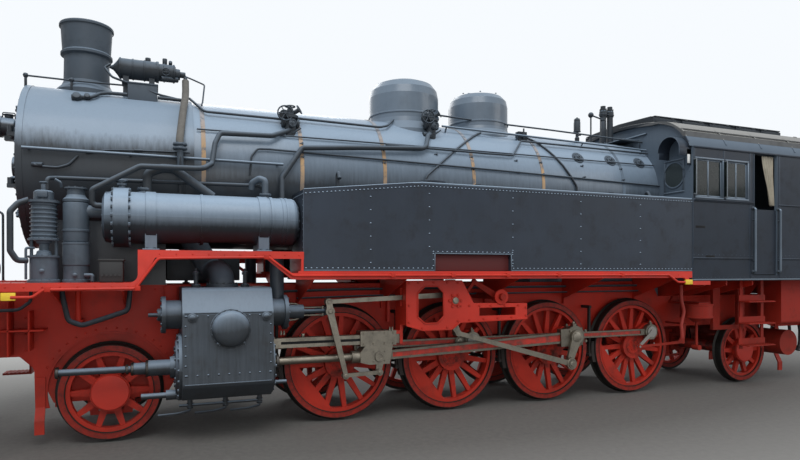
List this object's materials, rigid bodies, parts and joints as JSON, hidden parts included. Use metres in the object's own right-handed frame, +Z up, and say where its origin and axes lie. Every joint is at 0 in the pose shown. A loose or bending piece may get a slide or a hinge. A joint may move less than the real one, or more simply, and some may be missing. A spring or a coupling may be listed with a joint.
{
  "type": "tank steam locomotive",
  "caption": "Standard gauge tank steam locomotive with coupled driving wheels, side tanks, closed cab and rear coal bunker.",
  "frame": {"origin": "under the middle of the length over buffers, on the centre line, level with the lowest point of the wheel flanges", "axes": "+X forwards to the chimney end, +Y to the locomotive's left side, +Z up"},
  "size_m": [13.8, 3.1166, 4.62],
  "materials": {
    "black_paint": "satin black enamel with dust and grease",
    "red_paint": "satin vermilion enamel with road dirt",
    "bare_steel": "machined and oiled",
    "buffer_steel": "forged, painted black with worn faces",
    "band_paint": "tan boiler band",
    "glass": "clear"
  },
  "bodies": {
    "root": {"air_pump": "black_paint", "air_reservoir": "black_paint", "axle_boxes": "red_paint", "boiler": "black_paint", "boiler_bands": "band_paint", "boiler_fittings": "black_paint", "brake_gear": "red_paint", "buffer_beams": "red_paint", "buffers": "buffer_steel", "cab": "black_paint", "cab_glass": "glass", "cab_roof": "black_paint", "cab_steps": "red_paint", "chimney": "black_paint", "coal_bunker": "black_paint", "combination_levers": "bare_steel", "crossheads": "bare_steel", "cylinders": "black_paint", "draw_gear": "buffer_steel", "eccentric_rods": "bare_steel", "expansion_links": "bare_steel", "feed_pump": "black_paint", "feedwater_heater": "black_paint", "frame_stays": "red_paint", "guard_irons": "red_paint", "handrails": "black_paint", "lamps": "black_paint", "main_frame": "red_paint", "main_rods": "bare_steel", "motion_brackets": "red_paint", "pipework": "black_paint", "radius_rods": "bare_steel", "return_cranks": "bare_steel", "reversing_shaft": "red_paint", "running_boards": "red_paint", "safety_valves": "black_paint", "sand_dome": "black_paint", "side_conduits": "black_paint", "side_tanks": "black_paint", "slide_bars": "bare_steel", "smokebox": "black_paint", "springs": "red_paint", "steam_dome": "black_paint", "steam_pipes": "black_paint", "turbo_generator": "black_paint", "under_cab_gear": "red_paint", "union_links": "bare_steel"},
    "wheelset_lead": {"wheelset_lead": "red_paint"},
    "wheelset_coupled_1": {"wheelset_coupled_1": "red_paint"},
    "wheelset_coupled_2": {"wheelset_coupled_2": "red_paint"},
    "wheelset_driving": {"wheelset_driving": "red_paint"},
    "wheelset_coupled_4": {"wheelset_coupled_4": "red_paint"},
    "wheelset_trail": {"wheelset_trail": "red_paint"},
    "coupling_rods_left": {"coupling_rods_left": "bare_steel"},
    "coupling_rods_right": {"coupling_rods_right": "bare_steel"},
    "smokebox_door": {"smokebox_door": "black_paint"},
    "tank_lid_left": {"tank_lid_left": "black_paint"},
    "tank_lid_right": {"tank_lid_right": "black_paint"},
    "cab_door_left": {"cab_door_left": "black_paint"},
    "cab_door_right": {"cab_door_right": "black_paint"}
  },
  "joints": [
    {"name": "lead_axle_spin", "type": "hinge", "parent": "root", "child": "wheelset_lead", "pos_m": [4.7, 0, 0.528], "axis": [0, 1, 0], "continuous": true},
    {"name": "coupled_1_axle_spin", "type": "hinge", "parent": "root", "child": "wheelset_coupled_1", "pos_m": [2.2, 0, 0.703], "axis": [0, 1, 0], "continuous": true},
    {"name": "coupled_2_axle_spin", "type": "hinge", "parent": "root", "child": "wheelset_coupled_2", "pos_m": [0.7, 0, 0.703], "axis": [0, 1, 0], "continuous": true},
    {"name": "driving_axle_spin", "type": "hinge", "parent": "root", "child": "wheelset_driving", "pos_m": [-0.8, 0, 0.703], "axis": [0, 1, 0], "continuous": true},
    {"name": "coupled_4_axle_spin", "type": "hinge", "parent": "root", "child": "wheelset_coupled_4", "pos_m": [-2.3, 0, 0.703], "axis": [0, 1, 0], "continuous": true},
    {"name": "trail_axle_spin", "type": "hinge", "parent": "root", "child": "wheelset_trail", "pos_m": [-4.6, 0, 0.528], "axis": [0, 1, 0], "continuous": true},
    {"name": "coupling_rods_left_pin", "type": "hinge", "parent": "wheelset_driving", "child": "coupling_rods_left", "pos_m": [-1.06004, 0.905, 0.90617], "axis": [0, 1, 0], "continuous": true},
    {"name": "coupling_rods_right_pin", "type": "hinge", "parent": "wheelset_driving", "child": "coupling_rods_right", "pos_m": [-0.59683, -0.905, 0.96304], "axis": [0, 1, 0], "continuous": true},
    {"name": "smokebox_door_hinge", "type": "hinge", "parent": "root", "child": "smokebox_door", "pos_m": [5.608, 0.762, 2.96], "axis": [0, 0, 1], "range_deg": [0, 115]},
    {"name": "tank_lid_left_hinge", "type": "hinge", "parent": "root", "child": "tank_lid_left", "pos_m": [1.15, 0.93, 2.875], "axis": [1, 0, 0], "range_deg": [0, 90]},
    {"name": "tank_lid_right_hinge", "type": "hinge", "parent": "root", "child": "tank_lid_right", "pos_m": [1.15, -0.93, 2.875], "axis": [-1, 0, 0], "range_deg": [0, 90]},
    {"name": "cab_door_left_hinge", "type": "hinge", "parent": "root", "child": "cab_door_left", "pos_m": [-3.99, 1.443, 2.2], "axis": [0, 0, 1], "range_deg": [0, 90]},
    {"name": "cab_door_right_hinge", "type": "hinge", "parent": "root", "child": "cab_door_right", "pos_m": [-3.99, -1.443, 2.2], "axis": [0, 0, -1], "range_deg": [0, 90]}
  ],
  "couplings": [
    {"joint": "coupled_1_axle_spin", "follows": "driving_axle_spin", "ratio": 1},
    {"joint": "coupled_2_axle_spin", "follows": "driving_axle_spin", "ratio": 1},
    {"joint": "coupled_4_axle_spin", "follows": "driving_axle_spin", "ratio": 1},
    {"joint": "coupling_rods_left_pin", "follows": "driving_axle_spin", "ratio": -1},
    {"joint": "coupling_rods_right_pin", "follows": "driving_axle_spin", "ratio": -1}
  ]
}
